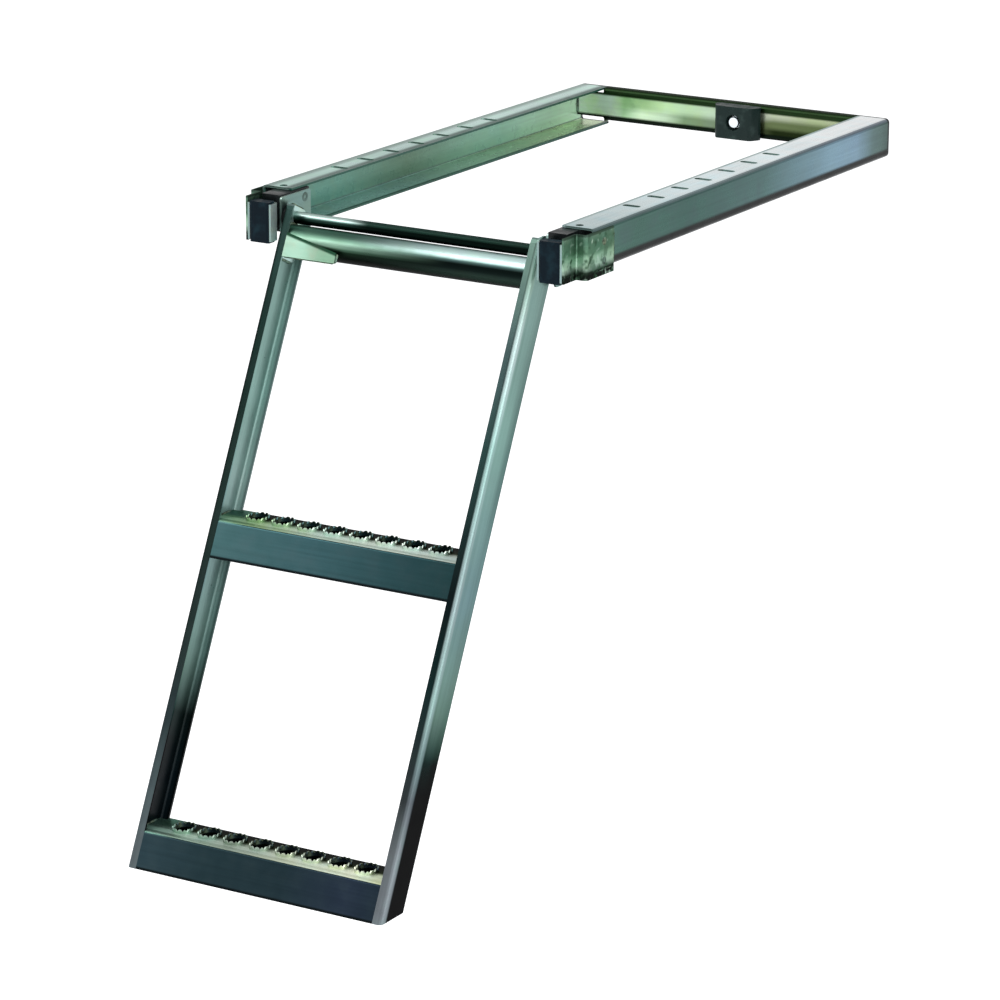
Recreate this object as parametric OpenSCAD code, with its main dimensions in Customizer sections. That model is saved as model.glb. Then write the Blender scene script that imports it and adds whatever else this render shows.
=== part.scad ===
// Two-step ladder that slides out from under a load floor and swings down.
// Two channel rails and a crossbar are bolted up under the floor. A carriage on two
// slide blocks runs in the rails, and the ladder hangs from the carriage's pivot shaft.
// X runs across, Y runs inwards under the floor, Z is up. The origin is the middle of
// the crossbar's top flange, in the plane that bears against the floor. The ladder is
// drawn pulled out and hanging, as it stands in use.

/* [Frame rails] */
// Length of each rail
rail_l = 729; // [680:1:840]
// Height of each rail
rail_h = 48; // [44:1:54]
// Width of each rail's flanges
rail_flange = 41; // [40:1:46]
// Thickness of the rail sheet
rail_t = 2.5; // [2:0.25:3]

/* [Crossbar] */
// Height of the crossbar's face
crossbar_h = 42; // [38:1:44]
// Depth of the crossbar, face to rail end
crossbar_depth = 14; // [12:1:24]
// Width of the bumper on the crossbar
bumper_w = 72; // [60:1:110]
// Middle of the bumper, to the right of the crossbar's middle
bumper_x = 19; // [-40:1:40]
// How far the bumper stands out from the crossbar
bumper_out = 20; // [14:1:22]

/* [Mounting slots] */
// Slots in each rail's top flange
slot_count = 7; // [5:1:9]
// Spacing of the slots along the rail
slot_pitch = 56; // [48:1:62]
// Rail end to the middle of the first slot
slot_start = 125; // [100:1:150]
// Web face to the middle of each slot
slot_inset = 24; // [22:0.5:26]
// Length of a slot, across the flange
slot_l = 22; // [16:0.5:24]
// Width of a slot
slot_w = 9; // [7:0.5:11]

/* [End fittings] */
// Height of the bracket on each rail's outer end
bracket_h = 51; // [46:1:56]
// How far the bracket laps back over the rail
bracket_lap = 39; // [30:1:60]
// How far the bracket's wide part stands out past the rail end
bracket_out = 20; // [14:1:22]
// Thickness of bracket and clip sheet
bracket_t = 2.5; // [2:0.25:3]
// Width of the end block
end_block_w = 26.5; // [24:0.5:28]
// Height of the end block
end_block_h = 47; // [42:1:52]
// Length of the end block
end_block_l = 14; // [10:0.5:18]

/* [Carriage] */
// Pivot axis below the floor plane
pivot_drop = 29.6; // [28:0.1:31]
// Pivot axis past the rail end when pulled out
pivot_out = 13.3; // [12:0.1:15]
// Diameter of the pivot shaft
shaft_d = 14; // [12:0.5:18]
// Length of the slide block's nose, ahead of the pivot
nose_l = 14; // [11:0.5:15]
// Width of the slide block's nose
nose_w = 24; // [20:0.5:25]
// Length of the slide block's wide body
body_l = 30; // [24:1:40]
// Thickness of the carriage's side plates
plate_t = 2.5; // [2:0.25:3]
// Height of the stop tab behind each ladder rail
stop_h = 16; // [12:0.5:20]
// Diameter of the washers beside the ladder
washer_d = 30; // [26:1:34]

/* [Ladder] */
// Width over the ladder's side rails
ladder_w = 336; // [300:1:338]
// Pivot axis to the foot of the ladder
ladder_drop = 757.4; // [700:0.1:800]
// Pivot axis to the top of the ladder
ladder_rise = 16; // [14:0.5:17]
// Depth of the side rails, front to back
ladder_d = 44; // [42:0.5:46]
// Width of the side rails' flanges
ladder_flange = 12; // [10:0.5:16]
// Thickness of the ladder sheet
ladder_t = 2.5; // [2:0.25:3]
// Lean of the hanging ladder away from upright, in degrees
lean = 25.4; // [20:0.1:30]
// Diameter of the tube under the pivot
tube_d = 36; // [30:0.5:36]
// Wall of the tube under the pivot
tube_wall = 2.5; // [2:0.25:4]
// Pivot axis to the middle of the tube
tube_drop = 26.5; // [26:0.1:30]

/* [Steps] */
// Distance from step to step along the ladder
step_pitch = 356.7; // [300:0.1:380]
// Height of each step's front face
step_face = 44; // [36:0.5:50]
// Depth of each tread, front to back
tread_depth = 51; // [48:0.5:54]
// Height of each step's back lip
step_lip = 16; // [10:0.5:20]
// Thickness of the step sheet
step_t = 2.5; // [2:0.25:3]

/* [Tread holes] */
// Grip holes in each tread
hole_count = 8; // [5:1:8]
// Spacing of the grip holes
hole_pitch = 34.5; // [32:0.5:36]
// Width of a grip hole
hole_w = 22; // [16:0.5:23]
// Length of a grip hole, front to back
hole_l = 26; // [22:0.5:28]
// Front edge of the tread to its grip holes
hole_setback = 13; // [12:0.5:14]
// Height of the toothed collar round a hole
collar_h = 4; // [2:0.25:5]
// Thickness of the toothed collar
collar_t = 1.5; // [1.5:0.25:2]
// Spacing of the collar's teeth
tooth_pitch = 6; // [5:0.5:7]

/* [Hidden] */

// Sides of a drawn circle, and straight pieces in a sheet's bend
$fn = 48;
bend_steps = 4;
// Overshoot of a cutter past the face that it cuts
over = 1;

// Running fit of the shaft in its bores, and of a slide block between the flanges
bore_play = 0.1;
slide_play = 0.5;
// Side play of the ladder, and of the carriage's plates between the flanges' edges
side_play = 5.5;
guide_play = 1.6;
// Play of the slide block's body beside the rail's web
body_play = 2.5;
// Gap at the ladder's stop, and beside a turning washer
touch_gap = 0.4;

// Bend radius to the middle of the sheet
rail_bend = 4;
ladder_bend = 4;
step_bend = 3;
bracket_bend = 3;

// Across, from the ladder's side out to the carriage, the end fittings and the rails
ladder_x = ladder_w / 2;
plate_x = ladder_x + side_play + touch_gap;
block_x = plate_x + plate_t;
clip_x = ladder_x + side_play + 1;
end_block_x = clip_x + bracket_t;
end_block_out = end_block_x + end_block_w;
flange_x = block_x + guide_play;
rail_x = flange_x + rail_flange;
body_x = rail_x - rail_t - body_play;

// Rails: both ends
rail_back = crossbar_depth / 2;
rail_front = rail_back - rail_l;
crossbar_face = -crossbar_depth / 2;

// Bolt of the bumper, and the hole near each rail's outer end
bolt_hole_d = 9;
bolt_sink_d = 20;
bolt_sink_depth = 9;
bumper_taper = 12;
bumper_round = 6;
end_hole_back = 9;

// End fittings
bracket_top = -3;
bracket_jog = rail_front - bracket_out;
clip_back = rail_front - pivot_out - nose_l - side_play;
clip_front = clip_back - bracket_t - end_block_l + 1;
end_block_top = -8;

// Pivot
pivot_y = rail_front - pivot_out;
pivot_z = -pivot_drop;
body_start = 16;
block_back = body_start + body_l;
plate_top = 5;
plate_bottom = rail_h - 2;
stop_start = 14;
stop_in = 14;
ear_front = 6;
ear_back = 36;
ear_drop = 23;

// Ladder sheet faces
web_in = ladder_x - ladder_t;
flange_in = ladder_x - ladder_flange;
rail_inner_bend = ladder_bend - ladder_t / 2;
top_round = 12;
hinge_t = 3;
hinge_rise = 12;
hinge_drop = 50;
hinge_x = web_in - hinge_t;
tube_y = -(ladder_d / 2 - ladder_t - tube_d / 2) + 0.1;

// Tie plate at the left end of the tube
tie_l = 70;
tie_high = 22;
tie_low = 50;
tie_end = 38;

// Steps, in the ladder's own upright frame
face_y = -ladder_d / 2 + step_t / 2;
step_gap = 0.3;
lip_y = face_y + tread_depth * cos(lean);
hole_mid = hole_setback + hole_l / 2;
bottom_step_top = step_face - ladder_drop;
middle_step_top = bottom_step_top + step_pitch;

function unit(v) = v / norm(v);
function left_of(v) = [-v[1], v[0]];
function turned(v, a) = [v[0] * cos(a) - v[1] * sin(a), v[0] * sin(a) + v[1] * cos(a)];
function turn(u, w) = atan2(u[0] * w[1] - u[1] * w[0], u * w);
function backwards(p) = [for (i = [len(p) - 1:-1:0]) p[i]];

// Points of one bend: a to b to c with radius r, moved s to the left of the path
function bend(a, b, c, r, s) =
    let (u = unit(b - a), angle = turn(u, unit(c - b)),
         start = b - u * r * tan(abs(angle) / 2),
         centre = start + left_of(u) * r * sign(angle))
    [for (i = [0:bend_steps])
        centre + turned(start - centre + left_of(u) * s, angle * i / bend_steps)];

// One face of a sheet whose middle follows path p
function face(p, r, s) =
    let (n = len(p) - 1)
    concat([p[0] + left_of(unit(p[1] - p[0])) * s],
           [for (i = [1:n - 1]) each bend(p[i - 1], p[i], p[i + 1], r, s)],
           [p[n] + left_of(unit(p[n] - p[n - 1])) * s]);

// Cross-section of a sheet of thickness t bent along path p
module sheet(p, t, r) {
    polygon(concat(face(p, r, t / 2), backwards(face(p, r, -t / 2))));
}

// Outline through the corners p, each rounded to radius r
module rounded(p, r) {
    n = len(p);
    polygon([for (i = [0:n - 1]) each bend(p[(i + n - 1) % n], p[i], p[(i + 1) % n], r, 0)]);
}

// Extrusion along Y of an outline in X and Z
module along_y(from, to) {
    translate([0, to, 0]) rotate([90, 0, 0]) linear_extrude(to - from) children();
}

// Extrusion along X of an outline in Y and Z
module along_x(from, to) {
    translate([from, 0, 0]) rotate([90, 0, 90]) linear_extrude(to - from) children();
}

// Round bar or cutter along X
module bar_x(from, to, d) {
    translate([from, 0, 0]) rotate([0, 90, 0]) cylinder(d = d, h = to - from);
}

// The other side of the ladder's middle
module other_side() {
    mirror([1, 0, 0]) children();
}

// The carriage's own frame, with the pivot as its origin
module at_pivot() {
    translate([0, pivot_y, pivot_z]) children();
}

// The ladder's own frame: upright, with the pivot as its origin
module hanging() {
    at_pivot() rotate([-lean, 0, 0]) children();
}

// Slot or slot-shaped solid: l long in X, w wide in Y
module slot_solid(l, w, h) {
    translate([w / 2 - l / 2, -w / 2, 0]) cube([l - w, w, h]);
    for (side = [-1, 1])
        translate([side * (l - w) / 2, 0, 0]) cylinder(d = w, h = h);
}

// Frame rail: a channel that opens inwards, slotted for the mounting bolts
module frame_rail() {
    mid = rail_x - rail_t / 2;
    color("lightslategray") difference() {
        along_y(rail_front, rail_back)
            sheet([[flange_x, -rail_t / 2], [mid, -rail_t / 2],
                   [mid, rail_t / 2 - rail_h], [flange_x, rail_t / 2 - rail_h]],
                  rail_t, rail_bend);
        for (i = [0:slot_count - 1])
            translate([rail_x - slot_inset, rail_front + slot_start + i * slot_pitch,
                       -rail_t - over])
                slot_solid(slot_l, slot_w, rail_t + 2 * over);
        translate([rail_x - slot_inset, rail_front + end_hole_back, -rail_t - over])
            cylinder(d = bolt_hole_d, h = rail_t + 2 * over);
    }
}

// Crossbar: a channel that opens backwards, its web let in between the rail webs
module crossbar() {
    web_x = rail_x - rail_t - 0.1;
    color("lightgray") difference() {
        union() {
            along_x(-flange_x, flange_x)
                sheet([[rail_back, -rail_t / 2], [crossbar_face + rail_t / 2, -rail_t / 2],
                       [crossbar_face + rail_t / 2, rail_t / 2 - crossbar_h],
                       [rail_back, rail_t / 2 - crossbar_h]],
                      rail_t, rail_bend);
            for (side = [0, 1])
                mirror([side, 0, 0])
                    translate([flange_x - over, crossbar_face, rail_bend - crossbar_h])
                        cube([web_x - flange_x + over, rail_t,
                              crossbar_h - 2 * rail_bend - rail_t]);
        }
        translate([bumper_x, crossbar_face - over, -crossbar_h / 2])
            rotate([-90, 0, 0]) cylinder(d = bolt_hole_d, h = rail_t + 2 * over);
    }
}

// Bumper: a tapered block bolted to the crossbar beside its middle, bolt head sunk
module bumper() {
    front = crossbar_face - bumper_out;
    half = bumper_w / 2;
    color("dimgray") translate([bumper_x, 0, 0]) difference() {
        translate([0, 0, -crossbar_h])
            linear_extrude(crossbar_h - 1)
                rounded([[half, crossbar_face], [-half, crossbar_face],
                         [bumper_taper - half, front], [half - bumper_taper, front]],
                        bumper_round);
        translate([0, front - over, -crossbar_h / 2]) rotate([-90, 0, 0]) {
            cylinder(d = bolt_hole_d, h = bumper_out + 2 * over);
            cylinder(d = bolt_sink_d, h = bolt_sink_depth + over);
        }
    }
}

// End bracket: a strap on the rail's outer face, stepped in round the end block
module end_bracket() {
    wide = rail_x + bracket_t / 2;
    narrow = end_block_out + 1.5 * bracket_t;
    color("darkseagreen")
        translate([0, 0, bracket_top - bracket_h])
            linear_extrude(bracket_h)
                sheet([[wide, rail_front + bracket_lap], [wide, bracket_jog],
                       [narrow, bracket_jog], [narrow, clip_front]],
                      bracket_t, bracket_bend);
}

// End clip: a trough in plan that holds the end block and stops the carriage
module end_clip() {
    inner = end_block_x - bracket_t / 2;
    outer = end_block_out + bracket_t / 2;
    back = clip_back - bracket_t / 2;
    color("silver")
        translate([0, 0, end_block_top - end_block_h + 2])
            linear_extrude(end_block_h - 4)
                sheet([[inner, clip_front], [inner, back], [outer, back],
                       [outer, clip_front]],
                      bracket_t, bracket_bend);
}

// End block: the black pad in the clip, beside the ladder
module end_block() {
    back = clip_back - bracket_t;
    color("black")
        translate([0, 0, end_block_top - end_block_h])
            linear_extrude(end_block_h)
                rounded([[end_block_x, back], [end_block_x, back - end_block_l],
                         [end_block_out, back - end_block_l], [end_block_out, back]],
                        bracket_bend);
}

// Slide block: a wide body that runs in the rail, and a nose that takes the shaft
module slide_block() {
    top = -rail_t - slide_play;
    bottom = rail_t + slide_play - rail_h;
    color("black") difference() {
        translate([0, pivot_y, bottom])
            linear_extrude(top - bottom)
                polygon([[block_x, -nose_l], [block_x + nose_w, -nose_l],
                         [block_x + nose_w, body_start - 4], [block_x + nose_w + 4, body_start],
                         [body_x, body_start], [body_x, block_back], [block_x, block_back]]);
        at_pivot() bar_x(block_x - over, block_x + nose_w + over, shaft_d + bore_play);
    }
}

// Slide plate: the carriage's steel cheek, with the tab that the ladder leans on
module slide_plate() {
    top = pivot_drop - plate_top;
    bottom = pivot_drop - plate_bottom;
    low = bottom - ear_drop;
    color("silver") difference() {
        union() {
            at_pivot() along_x(plate_x, plate_x + plate_t)
                rounded([[-nose_l, top], [-nose_l, bottom], [-ear_front, bottom],
                         [4, low], [17, low], [ear_back, bottom],
                         [block_back, bottom], [block_back, top]], 3);
            hanging()
                translate([ladder_x - stop_in, ladder_d / 2 + touch_gap,
                           -stop_start - stop_h])
                    cube([plate_x - ladder_x + stop_in + plate_t / 2, plate_t, stop_h]);
        }
        at_pivot()
            bar_x(plate_x - over, plate_x + plate_t + over, shaft_d + bore_play);
    }
}

// Pivot washer: keeps the ladder clear of the slide plate
module pivot_washer() {
    color("black") at_pivot() difference() {
        bar_x(ladder_x + touch_gap, plate_x, washer_d);
        bar_x(ladder_x - over, plate_x + over, shaft_d + bore_play);
    }
}

// Pivot shaft: one bar from slide block to slide block
module shaft() {
    half = block_x + nose_w - 1;
    color("darkslategray") at_pivot() bar_x(-half, half, shaft_d);
}

// Ladder side rail: a channel that opens inwards, rounded at the top. Its foot is cut
// level with the treads.
module side_rail() {
    mid = ladder_x - ladder_t / 2;
    edge = ladder_d / 2 - ladder_t / 2;
    half = ladder_d / 2;
    color("cadetblue") hanging() difference() {
        intersection() {
            translate([0, 0, -ladder_drop])
                linear_extrude(ladder_drop + ladder_rise)
                    sheet([[flange_in, -edge], [mid, -edge], [mid, edge], [flange_in, edge]],
                          ladder_t, ladder_bend);
            along_x(flange_in - over, ladder_x + over) {
                polygon([[-half, -ladder_drop], [half, ladder_d * tan(lean) - ladder_drop],
                         [half, 0], [-half, 0]]);
                rounded([[-half, -top_round * 2], [half, -top_round * 2],
                         [half, ladder_rise], [-half, ladder_rise]], top_round);
            }
        }
        bar_x(web_in - over, ladder_x + over, shaft_d + 2 * bore_play);
    }
}

// Hinge plate: doubles the side rail's web round the shaft and takes the tube's end
module hinge_plate() {
    half = ladder_d / 2 - ladder_t - rail_inner_bend;
    color("silver") hanging() difference() {
        along_x(hinge_x, web_in)
            rounded([[-half, -hinge_drop], [half, -hinge_drop],
                     [half, hinge_rise], [-half, hinge_rise]], 6);
        bar_x(hinge_x - over, web_in + over, shaft_d + 2 * bore_play);
    }
}

// Tube across the top of the ladder
module tube() {
    color("lightgray") hanging() translate([0, tube_y, -tube_drop]) difference() {
        bar_x(-hinge_x, hinge_x, tube_d);
        bar_x(-hinge_x - over, hinge_x + over, tube_d - 2 * tube_wall);
    }
}

// Tie plate: joins the tube's left end to the side rail's front flange
module tie() {
    color("honeydew") hanging()
        translate([0, ladder_t - ladder_d / 2, 0]) rotate([90, 0, 0])
            linear_extrude(ladder_t)
                polygon([[-flange_in, -tie_high], [tie_l - flange_in, -tie_end],
                         [tie_l - flange_in, -tie_low], [-flange_in, -tie_low]]);
}

// V-shaped cutter between two teeth, along X and centred on its tip
module tooth_gap(l) {
    along_x(-l / 2, l / 2)
        polygon([[0, -collar_h * 0.7], [tooth_pitch * 0.42, over], [-tooth_pitch * 0.42, over]]);
}

// Collar round one grip hole, standing on the tread
module collar() {
    rotate([0, 0, 90])
        slot_solid(hole_l + 2 * collar_t, hole_w + 2 * collar_t, collar_h + step_t / 2);
}

// Cuts through one collar, and the teeth at its front and back
module collar_cuts() {
    translate([0, 0, -step_t - over])
        rotate([0, 0, 90]) slot_solid(hole_l, hole_w, collar_h + 3 * step_t);
    for (i = [-1:1])
        translate([i * tooth_pitch, 0, collar_h + step_t / 2])
            rotate([0, 0, 90]) tooth_gap(hole_l + 4 * collar_t);
}

// Step: face, tread and back lip from one sheet, with toothed grip holes.
// The tread lies level while the ladder hangs.
module step(top) {
    edge = [face_y, top - step_t / 2];
    back = [lip_y, edge[1] + tread_depth * sin(lean)];
    first = -(hole_count - 1) * hole_pitch / 2;
    color("darkcyan") hanging() difference() {
        union() {
            along_x(-web_in, web_in)
                sheet([[face_y, top - step_face], edge, back, [lip_y, back[1] - step_lip]],
                      step_t, step_bend);
            translate([0, edge[0], edge[1]]) rotate([lean, 0, 0])
                for (i = [0:hole_count - 1])
                    translate([first + i * hole_pitch, hole_mid, 0]) collar();
        }
        translate([0, edge[0], edge[1]]) rotate([lean, 0, 0]) {
            for (i = [0:hole_count - 1])
                translate([first + i * hole_pitch, hole_mid, 0]) collar_cuts();
            for (i = [-1.5:1.5])
                translate([0, hole_mid + i * tooth_pitch, collar_h + step_t / 2])
                    tooth_gap(2 * flange_in);
        }
        for (side = [0, 1])
            mirror([side, 0, 0]) {
                translate([flange_in, -ladder_d / 2 - over, top - step_face - over])
                    cube([ladder_flange, ladder_t + rail_inner_bend + over + step_gap,
                          step_face + 10]);
                translate([flange_in - step_gap,
                           ladder_d / 2 - ladder_t - rail_inner_bend - step_gap,
                           top - step_face - over])
                    cube([ladder_flange, ladder_d, step_face + ladder_d]);
            }
    }
}

other_side() frame_rail();  // left_rail
frame_rail();  // right_rail
crossbar();  // rear_crossbar
bumper();  // rear_bumper
other_side() end_bracket();  // left_end_bracket
end_bracket();  // right_end_bracket
other_side() end_clip();  // left_end_clip
end_clip();  // right_end_clip
other_side() end_block();  // left_end_block
end_block();  // right_end_block
other_side() slide_block();  // left_slide_block
slide_block();  // right_slide_block
other_side() slide_plate();  // left_slide_plate
slide_plate();  // right_slide_plate
other_side() pivot_washer();  // left_pivot_washer
pivot_washer();  // right_pivot_washer
shaft();  // pivot_shaft
other_side() side_rail();  // left_side_rail
side_rail();  // right_side_rail
other_side() hinge_plate();  // left_hinge_plate
hinge_plate();  // right_hinge_plate
tube();  // top_tube
tie();  // tie_plate
step(middle_step_top);  // middle_step
step(bottom_step_top);  // bottom_step
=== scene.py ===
# Looks of a two-step ladder that slides out from under a load floor and swings down.
# Everything is in metres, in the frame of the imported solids. The solids keep their shapes
# and get their finishes here; a bolt and its nut, screws and weld beads are added.
import math

import bpy
import numpy as np
from mathutils import Matrix, Vector


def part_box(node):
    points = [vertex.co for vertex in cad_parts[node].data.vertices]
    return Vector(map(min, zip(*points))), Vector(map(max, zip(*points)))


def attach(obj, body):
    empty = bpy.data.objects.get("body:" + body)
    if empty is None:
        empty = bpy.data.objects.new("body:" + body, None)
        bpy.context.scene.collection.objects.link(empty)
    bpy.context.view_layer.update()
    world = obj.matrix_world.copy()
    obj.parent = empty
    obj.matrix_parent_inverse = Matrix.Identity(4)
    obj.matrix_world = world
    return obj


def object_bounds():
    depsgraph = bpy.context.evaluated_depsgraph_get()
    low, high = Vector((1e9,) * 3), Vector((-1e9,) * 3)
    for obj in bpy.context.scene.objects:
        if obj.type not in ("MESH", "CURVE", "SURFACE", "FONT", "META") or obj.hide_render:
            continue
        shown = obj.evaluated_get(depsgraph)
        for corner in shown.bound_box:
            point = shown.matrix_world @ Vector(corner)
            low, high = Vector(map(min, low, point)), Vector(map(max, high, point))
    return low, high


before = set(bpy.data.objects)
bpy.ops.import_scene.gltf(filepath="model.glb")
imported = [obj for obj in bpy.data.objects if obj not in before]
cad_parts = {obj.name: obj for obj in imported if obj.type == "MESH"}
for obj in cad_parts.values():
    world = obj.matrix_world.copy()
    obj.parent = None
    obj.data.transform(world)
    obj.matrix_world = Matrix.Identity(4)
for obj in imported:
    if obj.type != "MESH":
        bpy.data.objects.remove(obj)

solid_low, solid_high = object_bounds()

# ---------------------------------------------------------------------------------------
# Studio: a white sweep under the ladder, which hangs clear of it, two large soft lamps at
# a plain level and a long lens. The sweep is white to the lens and to mirrored rays, and
# keeps the ladder's faint shadow.
scene = bpy.context.scene
scene.view_settings.view_transform = "Standard"

LENS_PLACE = Vector((2.5097, -4.7356, 1.0417))
LENS_AZIMUTH = math.radians(30.98)
LENS_ELEVATION = math.radians(16.29)
LENS_ROLL = math.radians(0.245)
LENS_LENGTH_MM, LENS_SENSOR_MM = 155.84, 36.0
AIR_LIGHT, AIR_COLOUR = 0.6, (0.96, 0.98, 1.0, 1.0)
WHITE_TO_LENS, WHITE_TO_METAL = 1.0, 0.8
LAMPS_AIM_AT = Vector((0, -0.6, -0.3))
SWEEP_BELOW_FOOT, SWEEP_HALF = 0.28, 7.0
SWEEP_TONE, SWEEP_GLOW = 0.9, 0.62


def aim(azimuth, elevation, roll):
    """Turn of a lens at that azimuth and elevation: its columns are right, up and back,
    with right and up turned by roll round back."""
    back = Vector((math.sin(azimuth) * math.cos(elevation),
                   -math.cos(azimuth) * math.cos(elevation), math.sin(elevation)))
    right = Vector((0, 0, 1)).cross(back).normalized()
    up = back.cross(right)
    return Matrix((right * math.cos(roll) + up * math.sin(roll),
                   up * math.cos(roll) - right * math.sin(roll), back)).transposed().to_4x4()


camera = bpy.data.objects.new("camera", bpy.data.cameras.new("camera"))
scene.collection.objects.link(camera)
camera.data.lens = LENS_LENGTH_MM
camera.data.sensor_width = LENS_SENSOR_MM
camera.matrix_world = (Matrix.Translation(LENS_PLACE)
                       @ aim(LENS_AZIMUTH, LENS_ELEVATION, LENS_ROLL))
scene.camera = camera


def put(tree, kind, sockets=None, **settings):
    """Adds a shader node. settings are its properties; sockets gives, by name or number,
    a plain value or the output that feeds it."""
    made = tree.nodes.new("ShaderNode" + kind)
    for key, value in settings.items():
        setattr(made, key, value)
    for socket, value in (sockets or {}).items():
        if isinstance(value, bpy.types.NodeSocket):
            tree.links.new(value, made.inputs[socket])
        else:
            made.inputs[socket].default_value = value
    return made


def calc(tree, way, first, second=0.0, third=0.0):
    """Output of a Math node whose operation is way."""
    return put(tree, "Math", {0: first, 1: second, 2: third}, operation=way).outputs[0]


def seen_by_lens_or_mirror(tree):
    """1 on camera, glossy and transmission rays, and 0 on the rays that carry light."""
    path = put(tree, "LightPath")
    mirrored = calc(tree, "MAXIMUM", path.outputs["Is Camera Ray"],
                    path.outputs["Is Glossy Ray"])
    return calc(tree, "MAXIMUM", mirrored, path.outputs["Is Transmission Ray"])


world = bpy.data.worlds.new("studio_air")
scene.world = world
world.use_nodes = True
air = world.node_tree
air.nodes["Background"].inputs["Color"].default_value = AIR_COLOUR
air.nodes["Background"].inputs["Strength"].default_value = AIR_LIGHT
white_strength = calc(air, "MULTIPLY_ADD", put(air, "LightPath").outputs["Is Camera Ray"],
                      WHITE_TO_LENS - WHITE_TO_METAL, WHITE_TO_METAL)
white = put(air, "Background", {"Color": (1.0, 1.0, 1.0, 1.0), "Strength": white_strength})
air.links.new(put(air, "MixShader", {0: seen_by_lens_or_mirror(air),
                                     1: air.nodes["Background"].outputs[0],
                                     2: white.outputs[0]}).outputs[0],
              air.nodes["World Output"].inputs["Surface"])

for lamp_name, place, size, watts in (("key_lamp", (-1.9, -2.8, 2.7), 2.4, 56),
                                      ("fill_lamp", (3.2, -1.8, 0.9), 2.6, 40)):
    lamp_data = bpy.data.lights.new(lamp_name, "AREA")
    lamp_data.size = size
    lamp_data.energy = watts
    lamp = bpy.data.objects.new(lamp_name, lamp_data)
    lamp.location = place
    lamp.rotation_euler = (LAMPS_AIM_AT - Vector(place)).to_track_quat("-Z", "Y").to_euler()
    scene.collection.objects.link(lamp)

sweep_z = solid_low.z - SWEEP_BELOW_FOOT
sweep_mesh = bpy.data.meshes.new("sweep")
sweep_mesh.from_pydata([(x * SWEEP_HALF, y * SWEEP_HALF, sweep_z)
                        for x, y in ((-1, -1), (1, -1), (1, 1), (-1, 1))], [], [(0, 1, 2, 3)])
sweep = bpy.data.objects.new("sweep", sweep_mesh)
scene.collection.objects.link(sweep)
sweep_card = bpy.data.materials.new("sweep_card")
sweep_card.use_nodes = True
card = sweep_card.node_tree
card_face = card.nodes["Principled BSDF"]
card_face.inputs["Base Color"].default_value = (*[SWEEP_TONE] * 3, 1.0)
card_face.inputs["Roughness"].default_value = 0.95
card_face.inputs["Specular IOR Level"].default_value = 0.0
glow = put(card, "Emission", {"Strength": calc(card, "MULTIPLY",
                                               seen_by_lens_or_mirror(card), SWEEP_GLOW)})
card.links.new(put(card, "AddShader", {0: card_face.outputs[0],
                                       1: glow.outputs[0]}).outputs[0],
               card.nodes["Material Output"].inputs["Surface"])
sweep_mesh.materials.append(sweep_card)

# ---------------------------------------------------------------------------------------
# Frame rails: channels folded from 2.5 mm steel sheet and zinc plated, open towards each
# other, with seven bolt slots in the top flange. The plating has a green cast inside the
# left rail and a blue one outside the right. Light and reflection are painted into each
# face's colour, with a painted highlight down the middle of the left top flange, painted
# shade low on the outer webs and a painted line along each top flange's inner edge.
RAIL_FRONT, RAIL_BACK = -0.722, 0.007
RAIL_FLANGE_X, RAIL_WEB_X = 0.178, 0.219
RAIL_INSIDE_FROM_Z = (-0.0005, -0.0020)
RAIL_LOW_SIDE_FROM_Z = (-0.0350, -0.0395)
RAIL_FLOOR_FROM_Z = (-0.040, -0.0445)
RAIL_WORN_FLOOR_FROM_Y = (-0.34, -0.16)


def tone(red, green, blue):
    """Linear colour with alpha of a paint tone given from 0 to 255 as on a paint card."""
    part = np.array([red, green, blue]) / 255
    linear = np.where(part <= 0.04045, part / 12.92, ((part + 0.055) / 1.055) ** 2.4)
    return (*map(float, linear), 1.0)


def axes(tree, vector):
    """X, Y and Z of a vector."""
    return put(tree, "SeparateXYZ", {0: vector}).outputs


def times(tree, first, *others):
    """Product of masks and numbers."""
    for other in others:
        first = calc(tree, "MULTIPLY", first, other)
    return first


def rise(tree, value, start, end):
    """Smooth step of value: 0 at start and 1 at end."""
    return put(tree, "MapRange", {"Value": value, "From Min": start, "From Max": end},
               interpolation_type="SMOOTHSTEP").outputs[0]


def mix(tree, share, first, second, way="MIX"):
    """Colour from first to second by share."""
    return put(tree, "Mix", {0: share, 6: first, 7: second},
               data_type="RGBA", blend_type=way).outputs[2]


def band(tree, value, start, end, *stops):
    """Colour read off a ramp of (position, tone) stops, as value goes from start to end."""
    place = put(tree, "MapRange", {"Value": value, "From Min": start, "From Max": end})
    ramp = put(tree, "ValToRGB", {0: place.outputs[0]})
    marks = ramp.color_ramp.elements
    while len(marks) < len(stops):
        marks.new(0.5)
    for mark, (position, _) in zip(marks, stops):
        mark.position = position
    for mark, (_, colour) in zip(marks, stops):
        mark.color = tone(*colour)
    return ramp.outputs[0]


def new_group(name, inputs, outputs):
    """Empty shader group with named sockets, and its input and output node."""
    tree = bpy.data.node_groups.new(name, "ShaderNodeTree")
    for label, kind, value in inputs:
        socket = tree.interface.new_socket(name=label, in_out="INPUT",
                                           socket_type="NodeSocket" + kind)
        if value is not None:
            socket.default_value = value
    for label, kind in outputs:
        tree.interface.new_socket(name=label, in_out="OUTPUT",
                                  socket_type="NodeSocket" + kind)
    return tree, tree.nodes.new("NodeGroupInput").outputs, tree.nodes.new("NodeGroupOutput").inputs
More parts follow.
